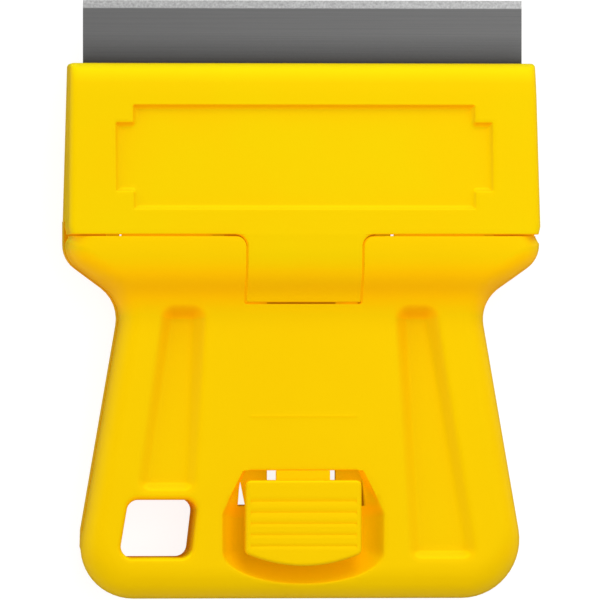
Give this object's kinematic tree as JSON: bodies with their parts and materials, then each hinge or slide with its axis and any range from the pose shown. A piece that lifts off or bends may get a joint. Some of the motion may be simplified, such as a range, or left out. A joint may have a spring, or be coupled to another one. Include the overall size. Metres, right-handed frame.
{
  "type": "hand scraper",
  "caption": "Moulded hand scraper with a waisted handle, a single-edge blade, a sliding wedge-shaped blade guard and a press-in latch button.",
  "frame": {"origin": "centre of the bounding box in X and Y, on the flat back of the handle", "axes": "+Y along the tool towards the blade's edge, +X across it to the right as seen from the front, +Z from the flat back to the front"},
  "size_m": [0.042, 0.053, 0.0094],
  "materials": {
    "handle_plastic": "satin moulded yellow",
    "carrier_plastic": "matte moulded yellow",
    "blade_steel": "brushed along the width, ground edge",
    "spine_steel": "rolled and folded",
    "guard_plastic": "satin moulded yellow",
    "button_plastic": "satin moulded yellow"
  },
  "bodies": {
    "handle": {"handle_front_shell": "handle_plastic", "handle_back_shell": "handle_plastic", "blade_carrier": "carrier_plastic", "blade": "blade_steel", "blade_spine": "spine_steel"},
    "guard": {"blade_guard": "guard_plastic"},
    "latch": {"latch_button": "button_plastic"}
  },
  "joints": [
    {"name": "guard_slide", "type": "slide", "parent": "handle", "child": "guard", "axis": [0, 1, 0], "range_m": [0, 0.006]},
    {"name": "button_press", "type": "hinge", "parent": "handle", "child": "latch", "pos_m": [0, -0.01514, 0.0067], "axis": [1, 0, 0], "range_deg": [0, 8], "stiffness_Nm_per_rad": 0.12}
  ]
}
